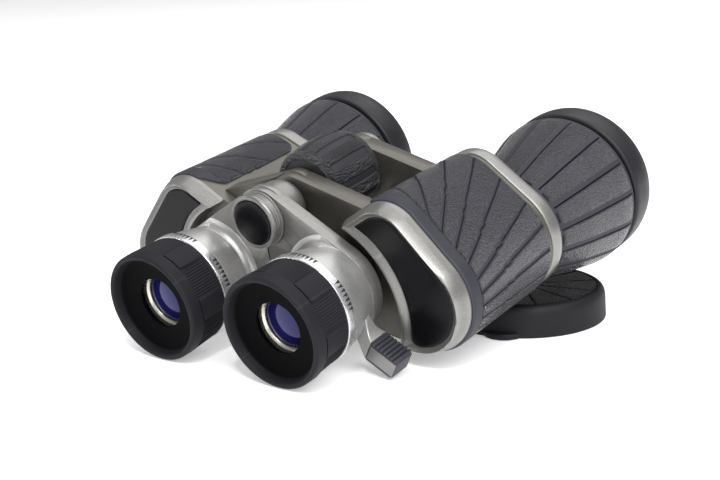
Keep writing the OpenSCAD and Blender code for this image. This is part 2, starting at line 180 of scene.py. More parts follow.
def rubber(name, color, scale, depth, shine, gloss, satin):
    """Rubber, grained where the piece's attribute is 1, smooth at 0, and at -1 painted with shade: the near-black
    colour of a shaded groove.

    gloss and satin are the specular levels of the grained and the smooth rubber."""
    m, tree, bsdf = shader(name, color, 0.55)
    attribute = tree.nodes.new("ShaderNodeAttribute")
    attribute.attribute_name = "grain_and_shade"
    grained = combine(tree, "MAXIMUM", attribute.outputs["Fac"], 0.0)
    groove_shade = combine(tree, "MAXIMUM", combine(tree, "MULTIPLY", attribute.outputs["Fac"], -1.0), 0.0)
    pebbles = texture(tree, "Voronoi", scale, feature="SMOOTH_F1", Smoothness=0.35)
    fine = texture(tree, "Noise", scale * 1.7, Detail=4, Roughness=0.7)
    clouds = texture(tree, "Noise", 90, Detail=5)
    lumps = combine(tree, "ADD", combine(tree, "MULTIPLY", pebbles.outputs["Distance"], -1.0),
                    combine(tree, "MULTIPLY", fine.outputs["Fac"], 0.9))
    grain_and_shade = combine(tree, "MULTIPLY", lumps, grained)
    skin = combine(tree, "MULTIPLY", fine.outputs["Fac"], 0.06)
    bump(tree, bsdf, combine(tree, "ADD", grain_and_shade, skin), depth)
    # The colour follows the pebbles' height as painted shade: lighter on their tops, darker in the hollows between
    # them. Grained patches are also a little lighter than smooth rubber.
    tone = combine(tree, "ADD", combine(tree, "MULTIPLY", clouds.outputs["Fac"], 0.45),
                   combine(tree, "MULTIPLY", combine(tree, "ADD", grain_and_shade, grained), 0.35))
    dark, light = (tuple(k * c for c in color) for k in (0.6, 1.4))
    body = mix(tree, tone, dark, light)
    worn = mix(tree, combine(tree, "MULTIPLY", edge_wear(tree), 0.3), body,
               tuple(2.6 * c for c in color))
    # Painted shade in the grooves: the colour falls to near black and the specular level drops.
    tree.links.new(mix(tree, groove_shade, worn, tuple(0.05 * c for c in color)), bsdf.inputs["Base Color"])
    level = mix(tree, grained, (satin, satin, satin), (gloss, gloss, gloss))
    tree.links.new(combine(tree, "MULTIPLY", level, combine(tree, "SUBTRACT", 1.0,
                   combine(tree, "MULTIPLY", groove_shade, 0.85))), bsdf.inputs["Specular IOR Level"])
    rough = mix(tree, grained, (0.55, 0.55, 0.55), (shine, shine, shine))
    tree.links.new(combine(tree, "ADD", rough, combine(tree, "MULTIPLY", fine.outputs["Fac"], 0.1)),
                   bsdf.inputs["Roughness"])
    return m


def plastic(name, color, roughness, scale=2600, depth=0.00002, uneven=0.06, **sockets):
    """Moulded plastic or blackened metal with a fine skin and scuffs."""
    m, tree, bsdf = shader(name, color, roughness, **sockets)
    skin = texture(tree, "Noise", scale, Detail=3, Roughness=0.6)
    scuffs = texture(tree, "Noise", 140, Detail=8, Roughness=0.75)
    low = max(0.03, roughness - uneven)
    tree.links.new(ramp(tree, scuffs.outputs["Fac"], [(0.35, low), (0.7, roughness + 1.6 * uneven)]),
                   bsdf.inputs["Roughness"])
    tone = mix(tree, scuffs.outputs["Fac"], tuple(0.8 * c for c in color), tuple(1.25 * c for c in color))
    worn = mix(tree, combine(tree, "MULTIPLY", edge_wear(tree), 0.35), tone,
               tuple(min(1, 3.0 * c) for c in color))
    tree.links.new(worn, bsdf.inputs["Base Color"])
    bump(tree, bsdf, skin.outputs["Fac"], depth)
    return m


def turned_metal(name, color, roughness):
    """Bright turned metal with fine tool lines round the optical axis."""
    m, tree, bsdf = shader(name, color, roughness, Metallic=0.9)
    lines = texture(tree, "Noise", 900, Detail=4, Roughness=0.7)
    clouds = texture(tree, "Noise", 150, Detail=5)
    tree.links.new(mix(tree, clouds.outputs["Fac"], tuple(0.8 * c for c in color),
                       tuple(min(1, 1.1 * c) for c in color)), bsdf.inputs["Base Color"])
    tree.links.new(ramp(tree, lines.outputs["Fac"], [(0.3, roughness - 0.07), (0.7, roughness + 0.1)]),
                   bsdf.inputs["Roughness"])
    bump(tree, bsdf, lines.outputs["Fac"], 0.000004)
    return m


def coated_glass(name, color, glancing_painted_reflection, sheen, roughness=0.03):
    """A coated lens: dark and coloured in the middle, its base colour lightening at glancing angles as a painted
    reflection, with a sharp coloured reflection from the specular tint.
    """
    m, tree, bsdf = shader(name, color, roughness, Specular_IOR_Level=0.7, Coat_Weight=0.2,
                           Coat_Roughness=0.02, Specular_Tint=(*sheen, 1))
    layer = tree.nodes.new("ShaderNodeLayerWeight")
    layer.inputs["Blend"].default_value = 0.35
    # Painted reflection: the base colour lightens towards the edges seen at a glance.
    tree.links.new(mix(tree, layer.outputs["Facing"], color, glancing_painted_reflection), bsdf.inputs["Base Color"])
    dust = texture(tree, "Noise", 900, Detail=6)
    tree.links.new(ramp(tree, dust.outputs["Fac"], [(0.5, roughness), (0.8, roughness + 0.05)]),
                   bsdf.inputs["Roughness"])
    return m


MATERIALS = {
    "body_paint": paint("paint_body", (0.05, 0.046, 0.038), (0.125, 0.117, 0.1), 0.6, 0.42),
    "cover_paint": paint("paint_cover", (0.13, 0.127, 0.12), (0.27, 0.267, 0.257), 0.75, 0.36),
    "panel_black": plastic("panel_black", (0.003, 0.003, 0.004), 0.25, depth=0.000003, uneven=0.015,
                           Specular_IOR_Level=0.15),
    "armour_rubber": rubber("armour_rubber", (0.03, 0.03, 0.041), 1150, 0.0016, 0.12, 1.0, 0.3),
    "wheel_rubber": rubber("wheel_rubber", (0.015, 0.015, 0.021), 950, 0.0023, 0.10, 1.0, 0.4),
    "rim_plastic": plastic("rim_plastic", (0.010, 0.010, 0.013), 0.42, Specular_IOR_Level=0.3),
    "cup_plastic": rubber("cup_plastic", (0.012, 0.012, 0.016), 2600, 0.0003, 0.4, 0.16, 0.16),
    "scale_metal": turned_metal("scale_metal", (0.62, 0.62, 0.63), 0.28),
    "inner_black": plastic("inner_black", (0.012, 0.012, 0.013), 0.5),
    "steel": turned_metal("steel", (0.45, 0.45, 0.46), 0.35),
    "ring_metal": turned_metal("ring_metal", (0.70, 0.68, 0.58), 0.3),
    # Each glass's second colour is its painted reflection at glancing angles.
    "eye_glass": coated_glass("eye_glass", (0.004, 0.004, 0.035), (0.02, 0.02, 0.12), (0.2, 0.22, 0.75)),
    "objective_glass": coated_glass("objective_glass", (0.012, 0.006, 0.022), (0.08, 0.04, 0.11),
                                    (0.6, 0.4, 0.9)),
    "prism_glass": coated_glass("prism_glass", (0.08, 0.10, 0.11), (0.5, 0.6, 0.6), (0.9, 1.0, 1.0)),
    "cap_rubber": rubber("cap_rubber", (0.005, 0.005, 0.007), 1000, 0.0013, 0.22, 0.1, 0.27),
}
# Silver paint of the cones and collars. On the lever's fin, which is cast in body paint, it is painted light: a
# lighter copy that makes the fin look lit.
silver_and_lit_body_paint = paint("paint_silver_and_lit_body", (0.31, 0.307, 0.302), (0.56, 0.557, 0.55), 0.75, 0.38)
plate_metal = turned_metal("plate_metal", (0.24, 0.235, 0.23), 0.4)
ink = plastic("ink", (0.006, 0.006, 0.007), 0.5)
SLOT = {s["node"]: s["material_slot"] for s in frame["record"]["subparts"]}
BODY = {node: body for body, nodes in frame["record"]["behaviour"]["bodies"].items() for node in nodes}
for node, thing in frame["nodes"].items():
    thing.data.materials.clear()
    thing.data.materials.append(MATERIALS[SLOT[node]])


# ---- mesh helpers ----

def add_piece(name, points, faces, node, material=None, stands_for=(), grain_and_shade=None, crease=32,
              space=OPTICAL):
    """A new piece made of points in millimetres, riding with the CAD node and, if asked, replacing it."""
    mesh = bpy.data.meshes.new(name)
    mesh.from_pydata([space @ Vector(p) for p in points], [], faces)
    shape = bmesh.new()
    shape.from_mesh(mesh)
    bmesh.ops.recalc_face_normals(shape, faces=shape.faces)
    shape.to_mesh(mesh)
    shape.free()
    mesh.polygons.foreach_set("use_smooth", [True] * len(mesh.polygons))
    mesh.set_sharp_from_angle(angle=math.radians(crease))
    mesh.materials.append(material or MATERIALS[SLOT[node]])
    if grain_and_shade is not None:
        mesh.attributes.new("grain_and_shade", "FLOAT", "POINT").data.foreach_set("value", grain_and_shade)
    mesh.validate()
    piece = bpy.data.objects.new(name, mesh)
    scene.collection.objects.link(piece)
    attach(piece, BODY[node])
    if stands_for:
        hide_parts(*stands_for)
    return piece


def grid_faces(rows, columns, closed_rows=False, closed_columns=False):
    """Quads over a rows x columns grid of points, wrapped round where asked."""
    faces = []
    for i in range(rows if closed_rows else rows - 1):
        for j in range(columns if closed_columns else columns - 1):
            a, b = i * columns, (i + 1) % rows * columns
            k = (j + 1) % columns
            faces.append((a + j, a + k, b + k, b + j))
    return faces


def soften(profile, radius, steps=3):
    """A closed [radius, station] profile with its corners rounded; radius is a number or one per corner."""
    result = []
    n = len(profile)
    for i, p in enumerate(profile):
        r = radius[i] if isinstance(radius, (list, tuple)) else radius
        before, point, after = (Vector(profile[(i + k) % n]) for k in (-1, 0, 1))
        reach = [min(r, 0.45 * (q - point).length) for q in (before, after)]
        if min(reach) < 0.02:
            result.append(tuple(point))
            continue
        start = point + (before - point).normalized() * reach[0]
        end = point + (after - point).normalized() * reach[1]
        for k in range(steps + 1):
            t = k / steps
            result.append(tuple((1 - t) ** 2 * start + 2 * t * (1 - t) * point + t * t * end))
    return result


def split_long(profile, longest):
    """Adds points to a closed profile until no step is longer than asked."""
    result = []
    for p, q in zip(profile, profile[1:] + profile[:1]):
        count = max(1, math.ceil(math.dist(p, q) / longest))
        result += [(p[0] + (q[0] - p[0]) * k / count, p[1] + (q[1] - p[1]) * k / count)
                   for k in range(count)]
    return result


def revolve(name, node, at, profile, relief=None, segments=192, side=1, sweep=None, **options):
    """A closed profile turned about an axis parallel to y, all round or over a sweep in degrees.

    relief(degrees, r, y) gives (lift along r, lift along y, grain), the grain going below 0 where shade is
    painted."""
    points = []
    grain_and_shade = [] if relief else None
    start, end = (math.radians(a) for a in sweep or (0, 360))
    steps = segments - 1 if sweep else segments
    for i in range(segments):
        angle = start + (end - start) * i / steps
        for r, y in profile:
            if relief:
                out, forward, rough = relief(math.degrees(angle), r, y)
                grain_and_shade.append(rough)
                r += out
                y += forward
            points.append((side * (at[0] + r * math.cos(angle)), y, at[1] + r * math.sin(angle)))
    faces = grid_faces(segments, len(profile), not sweep, True)
    if sweep:
        count = len(profile)
        faces += [tuple(reversed(range(count))), tuple(range(len(points) - count, len(points)))]
    options.setdefault("stands_for", (node,))
    return add_piece(name, points, faces, node, grain_and_shade=grain_and_shade, **options)


def smooth(x, low, high):
    """0 below low, 1 above high, and a smooth step between."""
    t = min(1, max(0, (x - low) / (high - low)))
    return t * t * (3 - 2 * t)


def wrapped(a, period):
    """a brought into -period/2 ... period/2."""
    return (a + period / 2) % period - period / 2


# ---- the housing's outline ----

REAR_Y, PLATE_Y = 47.5, 105.5


def circles_at(y, grow=0):
    """The housing's corner circles (x, z, radius) at a station; the crown falls towards the front."""
    t = (y - REAR_Y) / (PLATE_Y - REAR_Y)
    return ((EYE_X, 0, 18.4 + grow),
            (56.7 + 0.3 * t, -3.3, 20.4 + 1.2 * t + grow),
            (47, 17 - 2.3 * t, 14 - 0.2 * t + grow))


def tangent(a, b):
    """Angle of the normal of the outer tangent from circle a to circle b."""
    dx, dz = b[0] - a[0], b[1] - a[1]
    return math.atan2(dz, dx) - math.acos((a[2] - b[2]) / math.hypot(dx, dz))


def edge_distance(x, z):
    """Distance of a point from the housing's rear outline, negative inside."""
    circles = circles_at(REAR_Y)
    normals = [tangent(circles[i], circles[(i + 1) % 3]) for i in range(3)]
    for i, (cx, cz, r) in enumerate(circles):
        angle = math.atan2(z - cz, x - cx)
        if (angle - normals[i - 1]) % TAU <= (normals[i] - normals[i - 1]) % TAU:
            return math.hypot(x - cx, z - cz) - r
    return max((x - cx) * math.cos(n) + (z - cz) * math.sin(n) - r
               for (cx, cz, r), n in zip(circles, normals))


def outline_walk(y, grow=0, step=0.5):
    """Points round the outline at a station, clockwise from the belly line: (length, x, z, nx, nz)."""
    circles = circles_at(y, grow)
    normals = [tangent(circles[i], circles[(i + 1) % 3]) for i in range(3)]
    walk = []
    length = 0
    for i in (0, 2, 1, 0):
        cx, cz, r = circles[i]
        start = normals[i]
        turn = (start - normals[i - 1]) % TAU
        count = 1 if len(walk) and i == 0 else max(2, math.ceil(turn * r / step))
        for k in range(count if count == 1 else count + 1):
            angle = start - turn * k / max(1, count)
            nx, nz = math.cos(angle), math.sin(angle)
            spot = (cx + r * nx, cz + r * nz)
            if walk:
                gap = math.dist(walk[-1][1:3], spot)
                last = walk[-1]
                pieces = max(1, math.ceil(gap / step))
                for j in range(1, pieces + 1):
                    t = j / pieces
                    walk.append((length + gap * t, last[1] + (spot[0] - last[1]) * t,
                                 last[2] + (spot[1] - last[2]) * t,
                                 nx if j == pieces else last[3], nz if j == pieces else last[4]))
                length += gap
            else:
                walk.append((0, *spot, nx, nz))
    return walk


def along(walk, lengths, s):
    """The point and normal at a length along a walk."""
    i = min(max(bisect_left(lengths, s), 1), len(walk) - 1)
    a, b = walk[i - 1], walk[i]
    t = (s - a[0]) / (b[0] - a[0]) if b[0] > a[0] else 0
    return [p + (q - p) * t for p, q in zip(a[1:], b[1:])]


def loop_at(y, grow, count=240):
    """A closed loop of evenly spaced points on the outline at a station."""
    walk = outline_walk(y, grow)
    lengths = [w[0] for w in walk]
    spots = [along(walk, lengths, lengths[-1] * k / count) for k in range(count)]
    return [(spot[0], y, spot[1]) for spot in spots]


def loft(name, node, loops, side, **options):
    """A closed ring of skin through loops of equal length, the last joined to the first."""
    points = [(side * x, y, z) for loop in loops for x, y, z in loop]
    faces = grid_faces(len(loops), len(loops[0]), True, True)
    return add_piece(name, points, faces, node, stands_for=(node,), **options)


def bore_at(y, centre, radius):
    """A round loop in the housing's wall, point for point towards the outline's loop."""
    aims = (math.atan2(z - centre[1], x - centre[0]) for x, y, z in loop_at(REAR_Y, 0))
    return [(centre[0] + radius * math.cos(a), y, centre[1] + radius * math.sin(a)) for a in aims]


# ---- polished castings ----

def polish(node, width, segments=2, angle=35):
    """A copy of a CAD node with its edges rounded, which stands for it."""
    mesh = bpy.data.meshes.new(node + "_finished")
    work = bmesh.new()
    work.from_mesh(frame["nodes"][node].data)
    bmesh.ops.remove_doubles(work, verts=work.verts, dist=2e-6)
    bmesh.ops.dissolve_limit(work, angle_limit=math.radians(0.5), verts=work.verts, edges=work.edges)
    work.to_mesh(mesh)
    work.free()
    mesh.polygons.foreach_set("use_smooth", [True] * len(mesh.polygons))
    mesh.materials.append(MATERIALS[SLOT[node]])
    piece = bpy.data.objects.new(mesh.name, mesh)
    scene.collection.objects.link(piece)
    bevel = piece.modifiers.new("edges", "BEVEL")
    bevel.width = width / 1000
    bevel.segments = segments
    bevel.limit_method = "ANGLE"
    bevel.angle_limit = math.radians(angle)
    bevel.harden_normals = True
    bevel.use_clamp_overlap = True
    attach(piece, BODY[node])
    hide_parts(node)
    return piece


for node in ("left_hinge_bars", "right_hinge_bars", "left_bridge_arm", "right_bridge_arm", "tripod_socket"):
    polish(node, 0.45)

# ---- housings, plates and armour ----

WALL = 2.2
SHELL_Y = 98.9          # front end of the housing's shell
TUBE_BORE = 11.5        # hole for the eyepiece's tube in the rear wall
SLEEVE_BORE = 18.3      # hole for the objective's barrel in the front plate
ARMOUR_T = 1.0
ARMOUR_Y = (47.6, 96.8)
SHOULDER_X = 34.2       # the armour's straight inner edge
BELLY_X = 36
FAN = (69, 8.5)         # the armour's grooves fan out from here, in (length, station)
BORDER_Y = 53           # the smooth band behind the grooves ends here
# Where each groove meets the border, and how far and how fast it bends there
GROOVES = ((13, 9, 4), (25.3, 4.1, 4), (35, 0, 1), (42.1, 0, 1), (48.6, 0, 1), (55, 0, 1), (60.2, 0, 1),
           (65, 0, 1), (70, 0, 1), (75, 0, 1), (80.2, 0, 1), (86.6, 0, 1), (93.1, 0, 1), (100, 0, 1),
           (107.5, 0, 1), (115.5, 0, 1), (124, 0, 1))
STRIP = 1.4             # the smooth strip beside each groove
DASH = 5.2              # the short groove along the border


def trench(distance, half_width):
    """1 in the middle of a groove and 0 outside it."""
    return 1 - smooth(abs(distance), 0.25 * half_width, half_width)


def armour_relief(s, y):
    """(lift, grain) of the armour at a length from its inner edge and a station; in the grooves grain goes below
    0, which paints shade there.
    """
    if y < BORDER_Y - 0.7:
        return 0, 0
    spread = max(0.3, (y - FAN[1]) / (BORDER_Y - FAN[1]))
    a = FAN[0] + (s - FAN[0]) / spread
    lean = math.cos(math.atan2(s - FAN[0], y - FAN[1]))
    lift, grain_and_shade = 0, smooth(y, BORDER_Y, BORDER_Y + 0.5)
    panel = grain_and_shade
    for base, bend, reach in GROOVES:
        line = base + bend * math.exp(-max(0, y - BORDER_Y) / reach)
        d = (a - line) * spread * lean
        if -3.5 < d < 1.5:
            panel = min(panel, smooth(abs(d + STRIP / 2), STRIP / 2, STRIP / 2 + 0.35))
            lift = max(lift, trench(d, 0.55) * smooth(y, BORDER_Y - 0.5, BORDER_Y))
        if 0 < s - line < DASH:
            lift = max(lift, trench(y - BORDER_Y, 0.45) * (1 - trench(s - line - DASH, 0.4)))
    # panel - lift falls below 0 in the grooves: painted shade.
    return -0.5 * lift - 0.2 * (grain_and_shade - panel), panel - lift


def armour(side, name):
    """The rubber skin over crown, side and belly."""
    rows, columns = ((150, 380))
    top, grain_and_shade = [], []
    inner = []
    for i in range(rows):
        y = ARMOUR_Y[0] + (ARMOUR_Y[1] - ARMOUR_Y[0]) * i / (rows - 1)
        walk = outline_walk(y, ARMOUR_T)
        lengths = [w[0] for w in walk]
        ups = [w for w in walk if w[2] > 0 and w[3] < 0.2]
        start = min(ups, key=lambda w: abs(w[1] - SHOULDER_X))[0]
        end = min((w for w in walk if w[2] < -10 and w[0] > start), key=lambda w: abs(w[1] - BELLY_X))[0]
        # the inner edge sweeps outward behind the shoulder and rounds off at the front
        rear = 9 * max(0, (55.2 - y) / 8) ** 1.25
        front = 4.5 * (1 - math.sqrt(max(0, 1 - (max(0, y - ARMOUR_Y[1] + 5) / 5) ** 2)))
        start_here = start + max(rear, front)
        for j in range(columns):
            s = start_here + (end - start_here) * j / (columns - 1)
            x, z, nx, nz = along(walk, lengths, s)
            lift, rough = armour_relief(s - start - 2.2, y)
            edge = min(s - start_here, end - s, y - ARMOUR_Y[0], ARMOUR_Y[1] - y)
            lift = max(-0.6, lift - 0.55 * (1 - smooth(edge, -0.3, 0.9)))
            top.append((side * (x + lift * nx), y, z + lift * nz))
            inner.append((side * (x - 0.9 * nx), y, z - 0.9 * nz))
            grain_and_shade.append(rough)
    add_piece(name + "_armour_skin", *closed_sheet(top, inner, rows, columns), name + "_armour",
              stands_for=(name + "_armour",), grain_and_shade=grain_and_shade + [0] * len(inner), crease=50)


CREST = 2.0            # from the cover's outline to the crest of its border
FLOOR_D, FLOOR_E = 3.5, 3.7    # the recessed floor starts this far from the outline and from the lip
FLOOR_Y, CREST_Y, LIP_Y = 41.9, 40.5, 40.3


def past_lip(rho, angle):
    """Distance outside the lip, stretched towards the cover's upper tip, where its border narrows."""
    return (rho - LIP_R) * (1 + 0.9 * smooth(angle, 0.7, 1.5))


def cover(side, name):
    """The rear cover's raised border, crest and recessed floor; the black panel in it is made by panel()."""
    def reach(angle):
        """How far the outline lies from the lip's centre in a direction."""
        low, high = LIP_R - 12, 90
        for _ in range(36):
            middle = (low + high) / 2
            inside = edge_distance(LIP[0] + middle * math.cos(angle), LIP[1] + middle * math.sin(angle)) < 0
            low, high = (middle, high) if inside else (low, middle)
        return low

    angles = [math.radians(-75 + 0.25 * k) for k in range(760)]
    ends = [a for a in angles if reach(a) > LIP_R + 0.4]
    first, last = min(ends), max(ends)
    columns = 260
    rows = 44
    top = []
    for i in range(columns):
        t = i / (columns - 1)
        angle = first + (last - first) * (t + 0.35 * math.sin(TAU * t) / -TAU)
        outer = reach(angle)
        for j in range(rows):
            u = j / (rows - 1)
            rho = LIP_R + (outer - LIP_R) * u
            x, z = LIP[0] + rho * math.cos(angle), LIP[1] + rho * math.sin(angle)
            d, e = max(0, -edge_distance(x, z)), past_lip(rho, angle)
            top.append((x, cover_height(d, e), z))
    base = [(x, REAR_Y, z) for x, y, z in top]
    points, faces = closed_sheet(top, base, columns, rows)
    add_piece(name + "_cover_plate", [(side * x, y, z) for x, y, z in points], faces, name + "_rear_cover",
              stands_for=(name + "_rear_cover",), crease=40)


def cover_height(d, e):
    """Station of the cover's surface, d inside the outline and e outside the lip."""
    border = CREST_Y + (FLOOR_Y - CREST_Y) * min(1, max(0, d - CREST) / (FLOOR_D - CREST)) ** 0.8
    lip = LIP_Y + (FLOOR_Y - LIP_Y) * min(1, max(0, e - 1.3) / (FLOOR_E - 1.3)) ** 0.8
    roll_out = CREST_Y + 5.2 * (1 - min(1, d / CREST)) ** 1.35 + 0.12 * max(0, CREST - d)
    roll_in = LIP_Y + 0.9 * (1 - math.sqrt(1 - max(0, 1 - e / 0.9) ** 2))
    return max(min(border, lip), roll_out, roll_in)


def panel(side, name):
    """The glossy black panel let into the cover, with round corners and a rolled edge."""
    def outside(rho, angle):
        x, z = LIP[0] + rho * math.cos(angle), LIP[1] + rho * math.sin(angle)
        a, b = FLOOR_D + 0.15 + edge_distance(x, z), FLOOR_E + 0.1 - past_lip(rho, angle)
        width = 0.5 + 4.5 * smooth(-angle, -0.2, 0.5)
        blend = max(0, width - abs(a - b)) / width
        return max(a, b) + blend * blend * width / 4

    def edge(inside, out, angle):
        for _ in range(24):
            middle = (inside + out) / 2
            inside, out = (middle, out) if outside(middle, angle) < 0 else (inside, middle)
        return inside

    spans = []
    for k in range(900):
        angle = math.radians(-90 + 0.2 * k)
        trial = [LIP_R + 1.5 + 0.25 * m for m in range(100)]
        best = min(trial, key=lambda rho: outside(rho, angle))
        if outside(best, angle) < -0.03:
            spans.append((angle, edge(best, LIP_R, angle), edge(best, best + 40, angle)))
    step = max(1, len(spans) // (300))
    spans = spans[::step] + [spans[-1]]
    rows = 26
    top, base = [], []
    for i, (angle, near, far) in enumerate(spans):
        for j in range(rows):
            rho = near + (far - near) * (0.5 - 0.5 * math.cos(math.pi * j / (rows - 1)))
            x, z = LIP[0] + rho * math.cos(angle), LIP[1] + rho * math.sin(angle)
            depth = max(0, -outside(rho, angle))
            top.append((side * x, FLOOR_Y + 0.05 - 0.4 * math.sqrt(smooth(depth, -0.1, 0.7)), z))
            base.append((side * x, FLOOR_Y + 0.4, z))
    add_piece(name + "_panel", *closed_sheet(top, base, len(spans), rows), name + "_inlay",
              stands_for=(name + "_inlay",), crease=60)


def closed_sheet(top, base, rows, columns):
    """Points and faces of a slab between two rows x columns grids; the top faces outward."""
    count = len(top)
    faces = grid_faces(rows, columns)
    rim = ([i * columns for i in range(rows)] + [(rows - 1) * columns + j for j in range(1, columns)]
           + [i * columns + columns - 1 for i in range(rows - 2, -1, -1)] + list(range(columns - 2, 0, -1)))
    faces += [tuple(count + k for k in reversed(f)) for f in faces]
    for k, n in zip(rim, rim[1:] + rim[:1]):
        faces.append((n, count + n, count + k, k))
    return top + base, faces


for name, side in SIDES.items():
    loops = [bore_at(REAR_Y, EYE, TUBE_BORE), *(loop_at(y, 0) for y in (REAR_Y, 60, 75, 90, SHELL_Y)),
             *(loop_at(y, -WALL) for y in (SHELL_Y, 75, REAR_Y + WALL)),
             bore_at(REAR_Y + WALL, EYE, TUBE_BORE)]
    loft(name + "_housing_shell", name + "_housing", loops, side)
    edge = ((-0.5, 98.95), (0.3, 99.0), (0.6, 99.3), (0.6, 104.3), (0.4, 105.0), (0, 105.4), (-0.7, 105.5))
    loops = [bore_at(98.95, OBJ, SLEEVE_BORE), *(loop_at(y, grow) for grow, y in edge),
             bore_at(105.5, OBJ, SLEEVE_BORE)]
    loft(name + "_front_band", name + "_front_plate", loops, side, crease=60)
    armour(side, name)
    cover(side, name)
    panel(side, name)

# ---- eyepieces ----

CUP_STEP = 5.6         # front of the eyecup's flange
CUP_END = 17.45
RIB_PATCH = 17.5       # half the angle of a ribbed patch
RIB_PITCH = 2 * RIB_PATCH / 12
PATCHES = {"left": 30, "right": 18}      # angle of the first of six patches
TICK_GROUPS = {"left": (98, 156), "right": (82, 24)}     # angles of the middle marks
TICKS_EACH_WAY = 3
TICK_PITCH, TICK_HALF = 4.7, 1.9        # degrees
TICK_Y = (18.7, 21.15)                  # the point and the base of each mark


def eyecup_relief(first):
    """Six ribbed patches on the eyecup's body, with smooth pads between them, and a dish darkened with painted
    shade.
    """
    def relief(angle, r, y):
        if r < 19.6 or not CUP_STEP < y < CUP_END - 0.2:
            # Painted shade: the dish inside the lip gets -0.9, near black and with little specular.
            return 0, 0, -0.9 * (1 - smooth(r, 17.2, 18.4))
        off = wrapped(angle - first, 60)
        pad = smooth(abs(off), RIB_PATCH, RIB_PATCH + 1.3)
        fade = smooth(y, CUP_STEP, CUP_STEP + 0.8) * (1 - smooth(y, CUP_END - 1.1, CUP_END - 0.4))
        rib = 0.17 * math.cos(TAU * off / RIB_PITCH) * fade
        raised = 0.72 - 0.5 * (y - CUP_STEP) / (CUP_END - CUP_STEP)
        return pad * raised + (1 - pad) * (rib - 0.12), 0, 0
    return relief


COLLAR = (59.2, 219.4)  # the arm's face runs into the cone between these angles
CONE_R = 17


def collar_fade(angle, r, y):
    """Keeps the collar's section inside the edges of the arm's plate."""
    off = math.radians(min(angle - COLLAR[0], COLLAR[1] - angle, 55))
    share = min(1, max(0.01, (CONE_R / math.cos(off) - CONE_R - 0.1) / 4))
    return (CONE_R - r) * (1 - share), (35.6 - y) * (1 - share), 0


def eyepiece(side, name):
    cup = soften([(12.5, 7.3), (9.6, 6.0), (9.4, 5.0), (16.9, 3.6), (17.9, 2.6), (18.5, 0.6), (19.0, 0),
                  (20.0, 0), (20.6, 0.7), (20.7, 5.1), (19.9, CUP_STEP), (19.9, CUP_END),
                  (14.06, CUP_END), (14.06, 13.2), (12.5, 13.2)],
                 (0.2, 0.1, 0.2, 0.6, 0.6, 0.3, 0.35, 0.3, 0.5, 0.3, 0.2, 0.3, 0.1, 0.1, 0.1), 4)
    revolve(name + "_cup", name + "_eyecup", EYE, split_long(cup, 0.9), eyecup_relief(PATCHES[name]),
            840, side)
    ring = soften([(14.06, 17.5), (20.3, 17.5), (20.4, 18.2), (20.4, 21.1), (20.1, 21.5), (14.06, 21.5)],
                  0.25)
    revolve(name + "_graduated_ring", name + "_scale_ring", EYE, ring, None, 240, side)
    marks, faces = [], []
    for centre in TICK_GROUPS[name]:
        for k in range(-TICKS_EACH_WAY, TICKS_EACH_WAY + 1):
            middle = centre + TICK_PITCH * k
            spots = [(middle - TICK_HALF, TICK_Y[1]), (middle + TICK_HALF, TICK_Y[1]), (middle, TICK_Y[0])]
            first = len(marks)
            for r in (20.43, 20.2):
                marks += [(side * (EYE[0] + r * math.cos(math.radians(a))), y,
                           EYE[1] + r * math.sin(math.radians(a))) for a, y in spots]
            faces += [(first, first + 1, first + 2), (first + 5, first + 4, first + 3)]
            faces += [(first + j, first + 3 + j, first + 3 + (j + 1) % 3, first + (j + 1) % 3)
                      for j in range(3)]
    add_piece(name + "_graduations", marks, faces, name + "_scale_ring", ink)
    cone = soften([(14.06, 21.6), (19.3, 21.6), (19.45, 22.2), (19.1, 26), (18.3, 30), (17.5, 33),
                   (17.0, 35.45), (14.06, 35.45)], (0.2, 0.3, 0.4, 1.5, 1.5, 1.5, 0.1, 0.1), 4)
    revolve(name + "_eyepiece_cone", name + "_cone", EYE, cone, None, 240, side, material=silver_and_lit_body_paint)
    collar = [(17.03, 35.6), (17.03, 31.9), (17.3, 31.9), (17.6, 33.0), (18.1, 34.0), (18.9, 34.8),
              (19.9, 35.3), (21, 35.47), (21, 35.6)]
    revolve(name + "_collar", name + "_bridge_arm", EYE, collar, collar_fade, 160, side, stands_for=(),
            crease=60, sweep=COLLAR, material=silver_and_lit_body_paint)
    retainer = soften([(9.5, 9.5), (10.3, 8.62), (12.2, 8.62), (12.2, 12), (10.4, 12), (9.5, 10)],
                      (0.1, 0.25, 0.3, 0.1, 0.1, 0.1), 4)
    revolve(name + "_lens_retainer", name + "_eye_ring", EYE, retainer, None, 180, side)
    dome = [(9.42 * k / 16, 8.3 + 1.8 * (k / 16) ** 2) for k in range(17)]
    lens = dome + [(10.3, 12.1), (10.35, 14.4), (0, 15.7)]
    disc(name + "_ocular_lens", name + "_eye_lens", EYE, lens, side)


def disc(name, node, at, profile, side):
    """A solid turned from a profile that starts and ends on the axis."""
    segments = 128
    points = [(side * at[0], profile[0][1], at[1]), (side * at[0], profile[-1][1], at[1])]
    inner = profile[1:-1]
    for i in range(segments):
        angle = TAU * i / segments
        points += [(side * (at[0] + r * math.cos(angle)), y, at[1] + r * math.sin(angle)) for r, y in inner]
    faces = [tuple(2 + k for k in f) for f in grid_faces(segments, len(inner), True, False)]
    n = len(inner)
    for i in range(segments):
        a, b = 2 + i * n, 2 + (i + 1) % segments * n
        faces += [(0, a, b), (1, b + n - 1, a + n - 1)]
    return add_piece(name, points, faces, node, stands_for=(node,), crease=50)


for name, side in SIDES.items():
    eyepiece(side, name)

# ---- hub, boss and focus wheel ----

